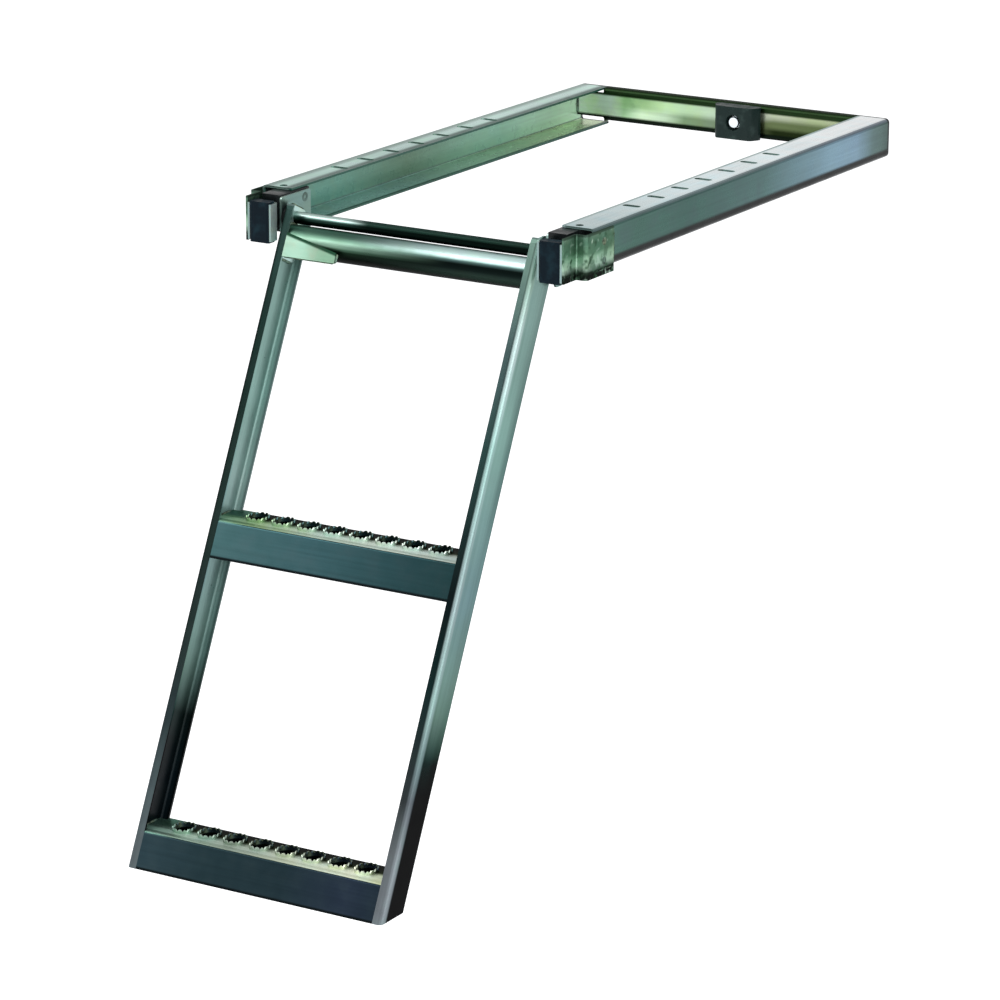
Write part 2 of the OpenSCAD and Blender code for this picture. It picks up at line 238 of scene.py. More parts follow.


# Painted light and shade on folded plated sheet: each face takes the tone of the light and
# reflection it catches by the way it points, with painted darker shade round its folds.
GREY = (0.3, 0.3, 0.3, 1.0)
painted_facing_light, given, made = new_group(
    "painted_facing_light",
    [("Normal", "Vector", None), ("Side", "Color", GREY), ("Front", "Color", GREY),
     ("Top", "Color", GREY), ("Under", "Color", GREY), ("Fold", "Color", GREY),
     ("Fold Share", "Float", 0.0)],
    [("Color", "Color")])
facing = axes(painted_facing_light, given["Normal"])
shade = mix(painted_facing_light, rise(painted_facing_light, facing["Y"], -0.35, -0.8), given["Side"], given["Front"])
shade = mix(painted_facing_light, rise(painted_facing_light, facing["Z"], 0.35, 0.8), shade, given["Top"])
shade = mix(painted_facing_light, rise(painted_facing_light, facing["Z"], -0.1, -0.6), shade, given["Under"])
squared = times(painted_facing_light, facing["Z"], facing["Z"])
folded = times(painted_facing_light, squared, 4.0, calc(painted_facing_light, "SUBTRACT", 1.0, squared),
               rise(painted_facing_light, facing["Z"], 0.05, 0.2), given["Fold Share"])
painted_facing_light.links.new(mix(painted_facing_light, folded, shade, given["Fold"]), made["Color"])


def face_shades(tree, normal, side, front, top, under, fold=GREY, fold_share=0.0):
    """Colour of the painted_facing_light group: painted light and shade by the way a face points.
    """
    return put(tree, "Group", {"Normal": normal, "Side": side, "Front": front, "Top": top,
                               "Under": under, "Fold": fold, "Fold Share": fold_share},
               node_tree=painted_facing_light).outputs[0]


# Zinc plating: soft clouds, patches that turn to a second hue, streaks along the rolled
# sheet and a fine grain. X of Vector runs along the streaks.
zinc_bloom, given, made = new_group(
    "zinc_bloom",
    [("Vector", "Vector", None), ("Color", "Color", GREY), ("Tint", "Color", GREY),
     ("Bloom", "Float", 0.5), ("Streaks", "Float", 0.5), ("Roughness", "Float", 0.36)],
    [("Color", "Color"), ("Roughness", "Float"), ("Height", "Float")])
clouds = put(zinc_bloom, "TexNoise", {"Vector": given["Vector"], "Scale": 9.0,
                                      "Detail": 3.0}).outputs[0]
patches = put(zinc_bloom, "TexNoise", {"Vector": given["Vector"], "Scale": 48.0,
                                       "Detail": 6.0, "Distortion": 0.1}).outputs[0]
drawn = put(zinc_bloom, "Mapping", {"Vector": given["Vector"],
                                    "Scale": (7.0, 300.0, 300.0)}).outputs[0]
streaks = put(zinc_bloom, "TexNoise", {"Vector": drawn, "Scale": 1.0, "Detail": 3.0}).outputs[0]
grain = put(zinc_bloom, "TexNoise", {"Vector": given["Vector"], "Scale": 1500.0,
                                     "Detail": 2.0}).outputs[0]
level = calc(zinc_bloom, "MULTIPLY_ADD", calc(zinc_bloom, "SUBTRACT", clouds, 0.5),
             given["Bloom"], 1.0)
for effect, share, weight in ((patches, "Bloom", 0.40), (streaks, "Streaks", 0.55),
                              (grain, "Streaks", 0.25)):
    swing = times(zinc_bloom, calc(zinc_bloom, "SUBTRACT", effect, 0.5), weight, given[share])
    level = calc(zinc_bloom, "ADD", level, swing)
tinted = times(zinc_bloom, rise(zinc_bloom, patches, 0.38, 0.80), given["Bloom"])
plated = mix(zinc_bloom, tinted, given["Color"], given["Tint"], "COLOR")
plated = put(zinc_bloom, "VectorMath", {0: plated, "Scale": level}, operation="SCALE").outputs[0]
matt = calc(zinc_bloom, "ADD", given["Roughness"],
            times(zinc_bloom, calc(zinc_bloom, "SUBTRACT", patches, 0.5), 0.35))
zinc_bloom.links.new(plated, made["Color"])
zinc_bloom.links.new(matt, made["Roughness"])
zinc_bloom.links.new(calc(zinc_bloom, "ADD", times(zinc_bloom, grain, 0.4), streaks),
                     made["Height"])

# A sheared edge or a seam: 1 within Half Width of At, soft outside it.
edge_line, given, made = new_group(
    "edge_line",
    [("Value", "Float", 0.0), ("At", "Float", 0.0), ("Half Width", "Float", 0.001)],
    [("Mask", "Float")])
away = calc(edge_line, "ABSOLUTE", calc(edge_line, "SUBTRACT", given["Value"], given["At"]))
away = calc(edge_line, "DIVIDE", away, given["Half Width"])
edge_line.links.new(rise(edge_line, away, 1.5, 0.7), made["Mask"])


def line(tree, value, at, half_width):
    """Mask of the edge_line group."""
    return put(tree, "Group", {"Value": value, "At": at, "Half Width": half_width},
               node_tree=edge_line).outputs[0]


def new_finish(name):
    """Material, its tree, its shader and its Object and Normal coordinates."""
    finish = bpy.data.materials.new(name)
    finish.use_nodes = True
    tree = finish.node_tree
    where = put(tree, "TexCoord").outputs
    return finish, tree, tree.nodes["Principled BSDF"], where["Object"], where["Normal"]


CLEAN_ZINC = 0.85
BUMP_HEIGHT = 0.0006


def shine_from(tree, dull, dullest=0.20):
    """Metallic share: that of clean zinc where the mask dull is 0, and dullest where it
    is 1."""
    return put(tree, "MapRange", {"Value": dull, "To Min": CLEAN_ZINC,
                                  "To Max": dullest}).outputs[0]


def plate(tree, shader, colour, tint, along, bloom=0.5, streaks=0.5, roughness=0.36,
          metallic=CLEAN_ZINC, relief=0.12, glance=0.3, film=0.5):
    """Wires zinc_bloom to a shader. along is the coordinate whose X follows the sheet,
    metallic is a number or a mask's output, glance is how bright the plating gets when it
    is seen almost edge on, and film is how much it mirrors where metallic is low."""
    zinc = put(tree, "Group", {"Vector": along, "Color": colour, "Tint": tone(*tint),
                               "Bloom": bloom, "Streaks": streaks, "Roughness": roughness},
               node_tree=zinc_bloom).outputs
    tree.links.new(zinc["Color"], shader.inputs["Base Color"])
    tree.links.new(zinc["Roughness"], shader.inputs["Roughness"])
    if isinstance(metallic, bpy.types.NodeSocket):
        tree.links.new(metallic, shader.inputs["Metallic"])
    else:
        shader.inputs["Metallic"].default_value = metallic
    shader.inputs["Specular Tint"].default_value = (glance, glance, glance, 1.0)
    shader.inputs["Specular IOR Level"].default_value = film
    bump = put(tree, "Bump", {"Height": zinc["Height"], "Strength": relief,
                              "Distance": BUMP_HEIGHT})
    tree.links.new(bump.outputs[0], shader.inputs["Normal"])


def turned_to_y(tree, point):
    """Coordinates with X along the object's Y, for sheet that was rolled that way."""
    return put(tree, "Mapping", {"Vector": point, "Rotation": (0, 0, -math.pi / 2)}).outputs[0]


def finish_nodes(finish, *names):
    """Gives solids their finish through their material slots."""
    for name in names:
        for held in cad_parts[name].material_slots:
            held.material = finish


# Tones along each face of a rail, from its outer end, at 0, to the crossbar, at 1: painted
# light and reflection, lighter or darker by the way each face points and along its length.
RAIL_TONES = {
    "left": {
        "outer": ((0, (76, 108, 100)), (0.4, (84, 112, 112)), (1, (92, 118, 118))),
        "inner": ((0, (118, 176, 162)), (0.2, (116, 172, 156)), (0.42, (114, 150, 126)),
                  (0.72, (154, 206, 184)), (0.93, (202, 240, 210)), (1, (206, 242, 214))),
        "top": ((0, (194, 222, 214)), (1, (230, 252, 246))),
        "floor": ((0, (146, 190, 180)), (0.35, (158, 210, 200)), (0.6, (186, 232, 200)),
                  (0.8, (232, 252, 214)), (1, (232, 255, 206))),
        "fold": ((0, (66, 96, 90)), (1, (72, 104, 96))), "fold_share": 0.9, "edge": (36, 84, 72),
        "tint": (124, 156, 132), "glance": 0.8, "dull_edge": 1.0, "film": 0.2},
    "right": {
        "outer": ((0, (60, 100, 88)), (0.3, (46, 86, 78)), (0.55, (66, 100, 98)),
                  (0.78, (112, 144, 160)), (0.88, (116, 146, 166)), (0.94, (84, 112, 110)),
                  (1, (58, 84, 76))),
        "inner": ((0, (96, 128, 116)), (1, (120, 150, 132))),
        "top": ((0, (186, 204, 204)), (0.3, (226, 240, 242)), (1, (255, 255, 255))),
        "floor": ((0, (110, 134, 126)), (1, (130, 152, 144))),
        "fold": ((0, (54, 80, 80)), (0.5, (48, 74, 78)), (0.8, (40, 62, 86)), (1, (44, 66, 88))),
        "fold_share": 0.95, "edge": (150, 172, 168),
        "tint": (108, 132, 138), "glance": 1.0, "dull_edge": 0.0, "film": 0.1},
}
for hand, tones in RAIL_TONES.items():
    finish, tree, shader, point, normal = new_finish(hand + "_rail_zinc")
    x, y, z = axes(tree, point)
    across = calc(tree, "ABSOLUTE", x)
    outer, inner, top, floor, fold = (band(tree, y, RAIL_FRONT, RAIL_BACK, *tones[part])
                                      for part in ("outer", "inner", "top", "floor", "fold"))
    if hand == "left":
        # A painted highlight down the middle of the left top flange, with painted shade towards
        # its inner edge.
        painted_highlight = band(tree, across, RAIL_FLANGE_X, RAIL_WEB_X, (0, (58, 88, 82)),
                      (0.16, (80, 110, 104)), (0.32, (244, 250, 250)), (0.55, (250, 255, 255)),
                      (0.75, (178, 186, 184)), (1, (168, 176, 172)))
        top = mix(tree, 1.0, top, painted_highlight, "MULTIPLY")
    inside = rise(tree, across, RAIL_WEB_X - 0.0005, RAIL_WEB_X - 0.0015)
    shade = face_shades(tree, normal, side=mix(tree, inside, outer, inner),
                        front=tone(110, 136, 128), top=top, under=tone(30, 38, 38), fold=fold,
                        fold_share=tones["fold_share"])
    on_floor = times(tree, rise(tree, z, *RAIL_FLOOR_FROM_Z),
                     rise(tree, axes(tree, normal)["Z"], 0.5, 0.8))
    shade = mix(tree, on_floor, shade, floor)
    # A line along the top flange's inner edge: painted shade on the left rail, a painted highlight
    # on the right.
    inner_edge = line(tree, across, RAIL_FLANGE_X, 0.0036)
    shade = mix(tree, inner_edge, shade, tone(*tones["edge"]))
    # Painted shade, near black, low on the outer face of each web.
    low_side_shade = times(tree, rise(tree, z, *RAIL_LOW_SIDE_FROM_Z),
                     calc(tree, "SUBTRACT", 1.0, inside))
    shade = mix(tree, low_side_shade, shade, tone(2, 8, 8))
    shade = mix(tree, line(tree, y, RAIL_BACK, 0.0040), shade, tone(14, 24, 24))
    dull = calc(tree, "MAXIMUM", low_side_shade, times(tree, inner_edge, tones["dull_edge"]))
    worn_floor = times(tree, on_floor, rise(tree, y, *RAIL_WORN_FLOOR_FROM_Y), 0.6)
    within = times(tree, inside, rise(tree, z, *RAIL_INSIDE_FROM_Z),
                   calc(tree, "SUBTRACT", 1.0, worn_floor))
    dull = calc(tree, "MAXIMUM", dull, within)
    plate(tree, shader, shade, tones["tint"], turned_to_y(tree, point), bloom=0.4,
          streaks=0.7, roughness=0.30, metallic=shine_from(tree, dull),
          glance=tones["glance"], film=tones["film"])
    finish_nodes(finish, hand + "_rail")

# ---------------------------------------------------------------------------------------
# Crossbar and bumper: a plated channel let in between the rails and welded to them. Light
# is painted across its face, with painted shade on its top flange, along the face's top and
# bottom, and low on the face right of the bumper. A moulded black rubber bumper is bolted
# to its face by one bright bolt, sunk in the rubber, with a nut and washer behind the
# channel's web.
CROSSBAR_HALF = 0.19
RIGHT_OF_BUMPER = (0.02, 0.07)
LIGHT_DROPS_BY = 0.0075

finish, tree, shader, point, normal = new_finish("crossbar_zinc")
x, y, z = axes(tree, point)
low_lit = band(tree, x, -CROSSBAR_HALF, CROSSBAR_HALF, (0, (250, 255, 252)),
               (0.06, (246, 255, 250)), (0.11, (190, 232, 182)), (0.18, (226, 252, 218)),
               (0.27, (196, 222, 190)), (0.34, (124, 152, 116)), (0.44, (122, 142, 116)),
               (0.62, (104, 118, 80)), (0.9, (92, 108, 70)), (1, (108, 130, 98)))
high_lit = band(tree, x, -CROSSBAR_HALF, CROSSBAR_HALF, (0, (250, 255, 252)),
                (0.06, (246, 255, 250)), (0.11, (182, 224, 166)), (0.2, (180, 220, 164)),
                (0.27, (206, 240, 196)), (0.36, (190, 222, 182)), (0.5, (192, 210, 192)),
                (0.64, (196, 204, 182)), (0.9, (176, 186, 150)), (1, (112, 134, 106)))
dropped = calc(tree, "MULTIPLY_ADD", rise(tree, x, *RIGHT_OF_BUMPER), -LIGHT_DROPS_BY, z)
face = mix(tree, rise(tree, dropped, -0.028, -0.018), low_lit, high_lit)
# Painted shade low on the face right of the bumper, then along the face's top and its bottom.
face = mix(tree, times(tree, rise(tree, z, -0.024, -0.031), rise(tree, x, 0.03, 0.07)), face,
           tone(30, 42, 16))
face = mix(tree, rise(tree, z, -0.0105, -0.0075), face, tone(30, 52, 26))
face = mix(tree, rise(tree, z, -0.0330, -0.0365), face, tone(10, 22, 12))
shade = face_shades(tree, normal, side=tone(112, 134, 110), front=face, top=tone(44, 64, 42),
                    under=tone(10, 20, 12), fold=tone(30, 50, 26), fold_share=0.9)
plate(tree, shader, shade, (160, 186, 120), point, bloom=0.4, streaks=0.5)
finish_nodes(finish, "rear_crossbar")

# Moulded black rubber: a fine pebble grain, with dust caught in patches.
rubber_skin, given, made = new_group(
    "rubber_skin",
    [("Vector", "Vector", None), ("Color", "Color", GREY), ("Dust", "Color", GREY),
     ("Dust Share", "Float", 0.3)],
    [("Color", "Color"), ("Roughness", "Float"), ("Height", "Float")])
pebbles = put(rubber_skin, "TexVoronoi", {"Vector": given["Vector"], "Scale": 900.0},
              feature="SMOOTH_F1").outputs[0]
drift = put(rubber_skin, "TexNoise", {"Vector": given["Vector"], "Scale": 70.0,
                                      "Detail": 6.0}).outputs[0]
dusted = times(rubber_skin, rise(rubber_skin, drift, 0.46, 0.74), given["Dust Share"])
rubber_skin.links.new(mix(rubber_skin, dusted, given["Color"], given["Dust"]), made["Color"])
rubber_skin.links.new(calc(rubber_skin, "ADD", times(rubber_skin, dusted, 0.4),
                           times(rubber_skin, drift, 0.9)), made["Roughness"])
rubber_skin.links.new(pebbles, made["Height"])


PEBBLE_HEIGHT = 0.0003


def moulded(name, colour, dust, share, relief=0.2, coat=0.0, sheen=0.2):
    """Material of a moulded black part: its colour, the dust's and the dust's share, how
    strong its grain is, its coat, and how much it mirrors."""
    finish, tree, shader, point, normal = new_finish(name)
    skin_of = put(tree, "Group", {"Vector": point, "Color": tone(*colour),
                                  "Dust": tone(*dust), "Dust Share": share},
                  node_tree=rubber_skin).outputs
    tree.links.new(skin_of["Color"], shader.inputs["Base Color"])
    tree.links.new(skin_of["Roughness"], shader.inputs["Roughness"])
    shader.inputs["Specular IOR Level"].default_value = sheen
    shader.inputs["Coat Weight"].default_value = coat
    bump = put(tree, "Bump", {"Height": skin_of["Height"], "Strength": relief,
                              "Distance": PEBBLE_HEIGHT})
    tree.links.new(bump.outputs[0], shader.inputs["Normal"])
    return finish


bumper_rubber = moulded("bumper_rubber", (22, 40, 38), (90, 108, 104), 0.3)
finish_nodes(bumper_rubber, "rear_bumper")


def skin(rings, loop=False):
    """Closed surface through rings of points, an array (rings, points, 3). Neighbouring
    rings are joined by quads, a ring closes on itself, and the end rings are capped, or
    joined when loop is true. A surface with a negative volume is turned over."""
    count, around = rings.shape[:2]
    one = np.arange(count if loop else count - 1)[:, None]
    two = (one + 1) % count
    here = np.arange(around)[None, :]
    there = (here + 1) % around
    quads = np.stack([one * around + here, one * around + there,
                      two * around + there, two * around + here], -1).reshape(-1, 4)
    points = rings.reshape(-1, 3)
    caps = [] if loop else [np.arange(around)[::-1], np.arange(around) + (count - 1) * around]
    fans = [np.stack([np.full(around - 2, cap[0]), cap[1:-1], cap[2:]], -1) for cap in caps]
    corners = np.concatenate([quads[:, [0, 1, 2]], quads[:, [0, 2, 3]], *fans])
    a, b, c = (points[corners[:, i]] - points.mean(0) for i in range(3))
    faces = quads.tolist() + [cap.tolist() for cap in caps]
    if np.einsum("ij,ij->", a, np.cross(b, c)) < 0:
        faces = [f[::-1] for f in faces]
    return points, faces


def full_turn(steps):
    """Angles of one turn in so many steps."""
    return np.linspace(0, 2 * math.pi, steps, endpoint=False)


def lathed(profile, at, axis, flats=None):
    """Skin of a turned part: rings of 48 points, at + height * axis + radius * (side *
    cos angle + other * sin angle), for each (height, radius) of the profile. With flats,
    the radius is cut to a hexagon of that width across."""
    angle = full_turn(48)
    height, radius = np.array(profile, float).T
    radius = np.repeat(radius[:, None], len(angle), 1)
    if flats:
        radius = np.minimum(radius, flats / 2 / np.cos(angle % (math.pi / 3) - math.pi / 6))
    axis = np.array(axis, float) / np.linalg.norm(axis)
    side = np.cross(axis, (0, 0, 1) if abs(axis[2]) < 0.9 else (1, 0, 0))
    side /= np.linalg.norm(side)
    other = np.cross(axis, side)
    return skin(np.array(at) + height[:, None, None] * axis
                + radius[..., None] * (np.cos(angle)[:, None] * side
                                       + np.sin(angle)[:, None] * other))


def piece(name, skins, finish, body, crease=35.0):
    """One object from several skins, shaded smooth up to the crease angle in degrees."""
    starts = np.cumsum([0] + [len(points) for points, faces in skins])
    mesh = bpy.data.meshes.new(name)
    mesh.from_pydata(np.concatenate([points for points, faces in skins]).tolist(), [],
                     [[i + int(start) for i in face]
                      for start, (points, faces) in zip(starts, skins) for face in faces])
    mesh.shade_smooth()
    mesh.set_sharp_from_angle(angle=math.radians(crease))
    mesh.materials.append(finish)
    made_piece = bpy.data.objects.new(name, mesh)
    scene.collection.objects.link(made_piece)
    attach(made_piece, body)


bolt_zinc, tree, shader, point, normal = new_finish("bolt_zinc")
plate(tree, shader, tone(236, 244, 250), (170, 180, 160), point, bloom=0.3, streaks=0.2,
      roughness=0.24, metallic=0.95)

bumper_low, bumper_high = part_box("rear_bumper")
BOLT_X = (bumper_low.x + bumper_high.x) / 2
BOLT_Z = -0.021
SINK_FLOOR_Y = bumper_low.y + 0.009
WEB_BACK_Y = -0.0045
TO_FRONT, TO_BACK = (0, -1, 0), (0, 1, 0)
WASHER_R, WASHER_THICK = 0.008, 0.0016
FLATS, HEAD_TALL, NUT_TALL = 0.013, 0.0053, 0.0062


def washer_and_hex(seat_y, way, tall):
    """Skins of a washer seated at seat_y and of a hexagon head or nut on it, so tall along
    way. The washer's rim and the hexagon's corners are turned down at the outer end."""
    rim = [(0, 0.0005), (0, WASHER_R), (WASHER_THICK * 0.8, WASHER_R),
           (WASHER_THICK, WASHER_R - WASHER_THICK * 0.2), (WASHER_THICK, 0.0005)]
    corner = FLATS / math.sqrt(3)
    hexagon = [(0, corner), (tall - 0.0012, corner), (tall, FLATS / 2 * 0.97), (tall, 0.0002)]
    return [lathed(rim, (BOLT_X, seat_y, BOLT_Z), way),
            lathed(hexagon, (BOLT_X, seat_y + way[1] * WASHER_THICK, BOLT_Z), way, flats=FLATS)]


piece("bumper_bolt", washer_and_hex(SINK_FLOOR_Y, TO_FRONT, HEAD_TALL), bolt_zinc, "frame")
thread_end = lathed([(0, 0.004), (0.0092, 0.004), (0.0099, 0.0033), (0.0099, 0.0002)],
                    (BOLT_X, WEB_BACK_Y, BOLT_Z), TO_BACK)
piece("bumper_nut", [*washer_and_hex(WEB_BACK_Y, TO_BACK, NUT_TALL), thread_end], bolt_zinc,
      "frame")

# Welds of the crossbar: a run down each rail's web on the crossbar's face, and short runs
# along the edges of the rail's flanges, plated over and darkened by the heat.
weld_zinc, tree, shader, point, normal = new_finish("weld_zinc")
burnt = put(tree, "TexNoise", {"Vector": point, "Scale": 160.0, "Detail": 4.0}).outputs[0]
shade = mix(tree, rise(tree, burnt, 0.4, 0.65), tone(112, 140, 126), tone(60, 74, 66))
plate(tree, shader, shade, (150, 150, 110), point, bloom=0.8, streaks=0.3, roughness=0.46,
      metallic=0.75, relief=0.3)


BEAD_STEP, BEAD_PITCH = 0.0009, 0.0032


def bead(path, radius, loop=False):
    """Skin of a weld bead: ten points round each step of a path, at radius * (1 + 0.1 sin
    (turns of pitch) + 0.06 sin (slower turns)), which draws in at the ends of an open run
    as a quarter circle does."""
    path = np.array(path, float)
    if loop:
        path = np.concatenate([path, path[:1]])
    run = np.concatenate([[0], np.cumsum(np.linalg.norm(np.diff(path, axis=0), axis=1))])
    steps = max(12, int(run[-1] / BEAD_STEP))
    at = np.linspace(0, run[-1], steps, endpoint=not loop)
    middle = np.stack([np.interp(at, run, path[:, i]) for i in range(3)], -1)
    along = np.gradient(middle, axis=0)
    if loop:
        along = np.roll(middle, -1, 0) - np.roll(middle, 1, 0)
    along /= np.linalg.norm(along, axis=1)[:, None]
    helper = np.where(np.abs(along[:, :1]) < 0.8, [[1.0, 0, 0]], [[0, 0, 1.0]])
    side = np.cross(along, helper)
    side /= np.linalg.norm(side, axis=1)[:, None]
    other = np.cross(along, side)
    size = radius * (1 + 0.1 * np.sin(2 * math.pi * at / BEAD_PITCH)
                     + 0.06 * np.sin(2 * math.pi * at / (BEAD_PITCH * 5.3)))
    if not loop:
        ends = np.clip(np.minimum(at, run[-1] - at) / (1.6 * radius), 0, 1)
        size = size * np.sqrt(0.004 + 0.996 * (1 - (1 - ends) ** 2))
    angle = full_turn(10)
    return skin(middle[:, None] + size[:, None, None]
                * (np.cos(angle)[None, :, None] * side[:, None]
                   + np.sin(angle)[None, :, None] * other[:, None]), loop)


def straight_runs(side, welds):
    """Beads at the left (side -1) or the right (side 1), from rows of a run's start and
    end at the right and its radius."""
    return [bead([(side * x, y, z) for x, y, z in ends], radius) for *ends, radius in welds]


CROSSBAR_WELDS = (((0.2163, -0.0072, -0.0070), (0.2163, -0.0072, -0.0360), 0.0021),
                  ((0.1780, -0.0045, -0.0030), (0.1780, 0.0062, -0.0030), 0.0019),
                  ((0.1782, -0.0030, -0.0425), (0.1782, 0.0062, -0.0425), 0.0021))
piece("crossbar_welds", straight_runs(-1, CROSSBAR_WELDS) + straight_runs(1, CROSSBAR_WELDS),
      weld_zinc, "frame")

# ---------------------------------------------------------------------------------------
# End brackets, clips and blocks: a plated strap on each rail's outer end, stepped in round
# a black rubber block that a folded clip holds beside the ladder. The strap's plating is
# coarse and blotched, with a painted highlight across the lower half of its side and painted
# shade along its bottom edge; it is welded to the rail down its back edge and by two plug
# welds.
finish, tree, shader, point, normal = new_finish("bracket_zinc")
z = axes(tree, point)["Z"]
spots = put(tree, "TexNoise", {"Vector": point, "Scale": 120.0, "Detail": 1.0}).outputs[0]
drips = put(tree, "TexNoise", {"Vector": point, "Scale": 62.0, "Detail": 3.0}).outputs[0]
# Painted light up the strap's side: painted shade along its bottom edge, a painted highlight
# across its lower half, darker at its top.
side_face_lit = band(tree, z, -0.056, 0.0, (0.125, (14, 24, 18)), (0.19, (34, 50, 40)),
                 (0.24, (112, 134, 122)), (0.32, (160, 192, 172)), (0.48, (140, 178, 152)),
                 (0.57, (90, 128, 104)), (0.80, (78, 116, 96)), (0.92, (100, 134, 116)),
                 (1, (56, 80, 68)))
side_face_lit = mix(tree, times(tree, rise(tree, drips, 0.54, 0.68), 0.7), side_face_lit,
                tone(80, 112, 92))
side_face_lit = mix(tree, rise(tree, spots, 0.46, 0.26), side_face_lit, tone(64, 94, 74))
side_face_lit = mix(tree, rise(tree, spots, 0.60, 0.84), side_face_lit, tone(180, 206, 190))
shade = face_shades(tree, normal, side=side_face_lit, front=side_face_lit, top=tone(150, 172, 160),
                    under=tone(30, 40, 38))
shade = mix(tree, line(tree, z, -0.003, 0.0022), shade, tone(64, 86, 74))
plate(tree, shader, shade, (168, 190, 150), point, bloom=0.3, streaks=0.3, roughness=0.42,
      relief=0.12)
finish_nodes(finish, "left_end_bracket", "right_end_bracket")

finish, tree, shader, point, normal = new_finish("clip_zinc")
shade = face_shades(tree, normal, side=tone(236, 250, 250), front=tone(140, 166, 166),
                    top=tone(190, 208, 206), under=tone(40, 50, 50))
plate(tree, shader, shade, (190, 204, 176), point, bloom=0.5, streaks=0.4)
finish_nodes(finish, "left_end_clip", "right_end_clip")

end_rubber = moulded("end_block_rubber", (2, 20, 30), (54, 84, 94), 0.25, sheen=0.1)
finish_nodes(end_rubber, "left_end_block", "right_end_block")

BRACKET_WELDS = (((0.2195, -0.6826, -0.0080), (0.2195, -0.6826, -0.0440), 0.0019),
                 ((0.2207, -0.7150, -0.0478), (0.2207, -0.6880, -0.0478), 0.0009))
PLUG_DOME = [(-0.0006, 0.0046), (0.0001, 0.0045), (0.0003, 0.0034), (0.0004, 0.0002)]
PLUG_X, PLUG_Y, PLUG_ZS = 0.2215, -0.7045, (-0.0160, -0.0380)
for hand, side in (("left", -1), ("right", 1)):
    plugs = [lathed(PLUG_DOME, (side * PLUG_X, PLUG_Y, plug_z), (side, 0, 0))
             for plug_z in PLUG_ZS]
    piece(hand + "_bracket_welds", straight_runs(side, BRACKET_WELDS) + plugs, weld_zinc,
          "frame")

# ---------------------------------------------------------------------------------------
# Carriage: black nylon slide blocks that run between the rail flanges, each with a plated
# steel cheek screwed to its inner side. The ladder leans on a tab folded in behind it.
block_nylon = moulded("slide_block_nylon", (10, 16, 18), (60, 70, 70), 0.2, relief=0.08,
                      coat=0.15)
finish_nodes(block_nylon, "left_slide_block", "right_slide_block")

finish, tree, shader, point, normal = new_finish("cheek_zinc")
shade = face_shades(tree, normal, side=tone(122, 150, 146), front=tone(150, 178, 172),
                    top=tone(196, 212, 208), under=tone(44, 54, 54))
plate(tree, shader, shade, (160, 182, 150), turned_to_y(tree, point), bloom=0.5, streaks=0.6)
finish_nodes(finish, "left_slide_plate", "right_slide_plate")

screw_zinc, tree, shader, point, normal = new_finish("screw_zinc")
plate(tree, shader, tone(96, 116, 112), (120, 130, 104), point, bloom=0.3, streaks=0.2,
      roughness=0.34)

SCREW_HEAD = [(-0.0003, 0.0055), (0.0002, 0.0054), (0.0004, 0.0049), (0.0004, 0.0022),
              (-0.0016, 0.0019), (-0.0016, 0.0002)]
SCREW_X, SCREW_Y, SCREW_ZS = 0.1739, -0.7010, (-0.0130, -0.0370)
for hand, side in (("left", -1), ("right", 1)):
    screws = [lathed(SCREW_HEAD, (side * SCREW_X, SCREW_Y, screw_z), (-side, 0, 0))
              for screw_z in SCREW_ZS]
    piece(hand + "_cheek_screws", screws, screw_zinc, "carriage")

# ---------------------------------------------------------------------------------------
# Pivot shaft and washers: a dark drawn steel bar, painted lighter on top and darker below
# by the way its surface points, with a painted highlight on top near its left end, and
# black nylon washers that keep the ladder clear of the cheeks.
HIGHLIGHT_FROM_X = (-0.062, -0.100)

finish, tree, shader, point, normal = new_finish("shaft_steel")
facing = axes(tree, normal)
# Painted light by the way the shaft's surface points: painted shade below and lighter on top, with
# a brighter painted highlight on top near the left end.
shade = band(tree, facing["Z"], -1, 1, (0, (6, 14, 12)), (0.6, (4, 16, 12)),
             (0.8, (8, 26, 20)), (0.92, (40, 62, 55)), (1, (56, 78, 72)))
painted_highlight = band(tree, facing["Z"], -1, 1, (0.4, (10, 26, 22)), (0.6, (34, 60, 52)),
              (0.72, (84, 112, 106)), (0.84, (186, 208, 203)), (1, (176, 198, 192)))
shade = mix(tree, rise(tree, axes(tree, point)["X"], *HIGHLIGHT_FROM_X), shade, painted_highlight)
plate(tree, shader, shade, (70, 84, 76), point, bloom=0.3, streaks=0.5, roughness=0.3,
      metallic=0.9, relief=0.06)
finish_nodes(finish, "pivot_shaft")
finish_nodes(block_nylon, "left_pivot_washer", "right_pivot_washer")

# ---------------------------------------------------------------------------------------
# Ladder side rails: narrow plated channels folded from 2.5 mm sheet, open towards each
# other, doubled by a hinge plate round the shaft. Their front flanges are painted dark as
# reflection, with a painted glint down the right rail's outer corner; the webs are painted
# darker to the back, and the lower third carries a painted dark reflection.
pivot_low, pivot_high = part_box("pivot_shaft")
PIVOT_Y = (pivot_low.y + pivot_high.y) / 2
PIVOT_Z = (pivot_low.z + pivot_high.z) / 2
LEAN = math.radians(25.4)
LADDER_WEB_IN, LADDER_FLANGE_IN = 0.1655, 0.156
LADDER_CORNER_X = (0.1630, 0.1655)
LADDER_DROP = 0.7574


def upright(tree, point):
    """Coordinates with the ladder stood upright and its pivot as the origin."""
    c, s = math.cos(LEAN), math.sin(LEAN)
    return put(tree, "Mapping", {"Vector": point, "Rotation": (LEAN, 0, 0), "Location": (
        0, -(PIVOT_Y * c - PIVOT_Z * s), -(PIVOT_Y * s + PIVOT_Z * c))}).outputs[0]


def upright_normal(tree, normal):
    """Normal with the ladder stood upright."""
    return put(tree, "Mapping", {"Vector": normal, "Rotation": (LEAN, 0, 0)},
               vector_type="VECTOR").outputs[0]


